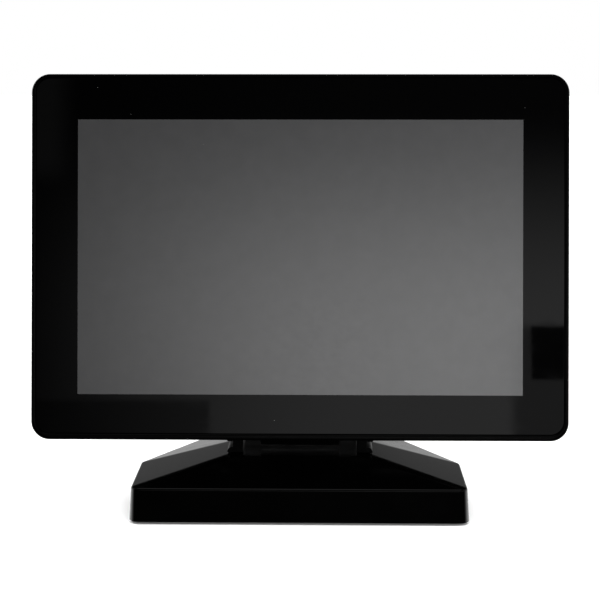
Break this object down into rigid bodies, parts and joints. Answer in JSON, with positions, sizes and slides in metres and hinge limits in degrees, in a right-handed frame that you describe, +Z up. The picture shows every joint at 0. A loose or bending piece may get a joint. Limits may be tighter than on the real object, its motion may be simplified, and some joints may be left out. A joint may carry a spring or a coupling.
{
  "type": "tilting desktop touch monitor",
  "caption": "Flat touch-screen display head with a flush glass front, tilting on a friction hinge above a low ballasted six-sided foot.",
  "frame": {"origin": "on the table, at the middle of the foot", "axes": "+X to the viewer's right along the hinge axis, +Y away from the viewer, +Z up; the screen faces -Y"},
  "size_m": [0.261, 0.1094, 0.2156],
  "materials": {
    "textured_plastic": "fine matt grain",
    "rear_plastic": "fine matt grain",
    "rim_plastic": "satin",
    "cover_glass": "polished, black printed border behind",
    "screen_glass": "switched-off panel, soft anti-glare",
    "backlight_frame": "moulded, with film edges",
    "foam": "closed-cell foam",
    "foot_rubber": "moulded",
    "black_steel": "fine powder coat",
    "cast_iron": "as cast",
    "chassis_sheet": "pressed sheet",
    "circuit_board": "solder mask",
    "heat_sink": "extruded",
    "socket_metal": "nickel plated",
    "socket_plastic": "moulded",
    "flat_cable": "polyimide film",
    "hinge_steel": "turned",
    "screw_steel": "black oxide",
    "button_plastic": "moulded"
  },
  "bodies": {
    "base": {"base_cover": "textured_plastic", "base_plate": "black_steel", "ballast_weight": "cast_iron", "foot_front_left": "foot_rubber", "foot_front_right": "foot_rubber", "foot_rear_left": "foot_rubber", "foot_rear_right": "foot_rubber", "base_screw_front_left": "screw_steel", "base_screw_front_right": "screw_steel", "base_screw_rear_left": "screw_steel", "base_screw_rear_right": "screw_steel", "hinge_lug_left": "textured_plastic", "hinge_lug_right": "textured_plastic", "hinge_cap_left": "textured_plastic", "hinge_cap_right": "textured_plastic", "lug_screw_left_front": "screw_steel", "lug_screw_left_rear": "screw_steel", "lug_screw_right_front": "screw_steel", "lug_screw_right_rear": "screw_steel"},
    "head": {"front_frame": "rim_plastic", "cover_glass": "cover_glass", "light_seal": "foam", "lcd_cell": "screen_glass", "backlight_unit": "backlight_frame", "chassis_plate": "chassis_sheet", "main_board": "circuit_board", "heat_sink": "heat_sink", "touch_board": "circuit_board", "button_board": "circuit_board", "hdmi_socket": "socket_metal", "usb_socket": "socket_metal", "power_socket": "socket_plastic", "lcd_ribbon": "flat_cable", "touch_flex": "flat_cable", "rear_cover": "rear_plastic", "vesa_plate": "black_steel", "hinge_arm": "textured_plastic", "chassis_screw_lower_left": "screw_steel", "chassis_screw_lower_right": "screw_steel", "chassis_screw_upper_left": "screw_steel", "chassis_screw_upper_right": "screw_steel", "vesa_screw_lower_left": "screw_steel", "vesa_screw_lower_right": "screw_steel", "vesa_screw_upper_left": "screw_steel", "vesa_screw_upper_right": "screw_steel", "arm_screw_lower_left": "screw_steel", "arm_screw_lower_right": "screw_steel", "arm_screw_upper_left": "screw_steel", "arm_screw_upper_right": "screw_steel", "hinge_shaft": "hinge_steel", "friction_washer_left": "hinge_steel", "friction_washer_right": "hinge_steel", "spring_washer_left": "hinge_steel", "spring_washer_right": "hinge_steel", "hinge_nut_left": "hinge_steel", "hinge_nut_right": "hinge_steel"},
    "menu_key": {"menu_button": "button_plastic"},
    "down_key": {"down_button": "button_plastic"},
    "up_key": {"up_button": "button_plastic"},
    "power_key": {"power_button": "button_plastic"}
  },
  "joints": [
    {"name": "tilt", "type": "hinge", "parent": "base", "child": "head", "pos_m": [0, -0.0127, 0.0386], "axis": [-1, 0, 0], "range_deg": [-13.5, 51.5]},
    {"name": "menu_press", "type": "slide", "parent": "head", "child": "menu_key", "axis": [0, -0.989, 0.1478], "range_m": [0, 0.0008], "stiffness_N_per_m": 1500},
    {"name": "down_press", "type": "slide", "parent": "head", "child": "down_key", "axis": [0, -0.989, 0.1478], "range_m": [0, 0.0008], "stiffness_N_per_m": 1500},
    {"name": "up_press", "type": "slide", "parent": "head", "child": "up_key", "axis": [0, -0.989, 0.1478], "range_m": [0, 0.0008], "stiffness_N_per_m": 1500},
    {"name": "power_press", "type": "slide", "parent": "head", "child": "power_key", "axis": [0, -0.989, 0.1478], "range_m": [0, 0.0008], "stiffness_N_per_m": 1500}
  ]
}
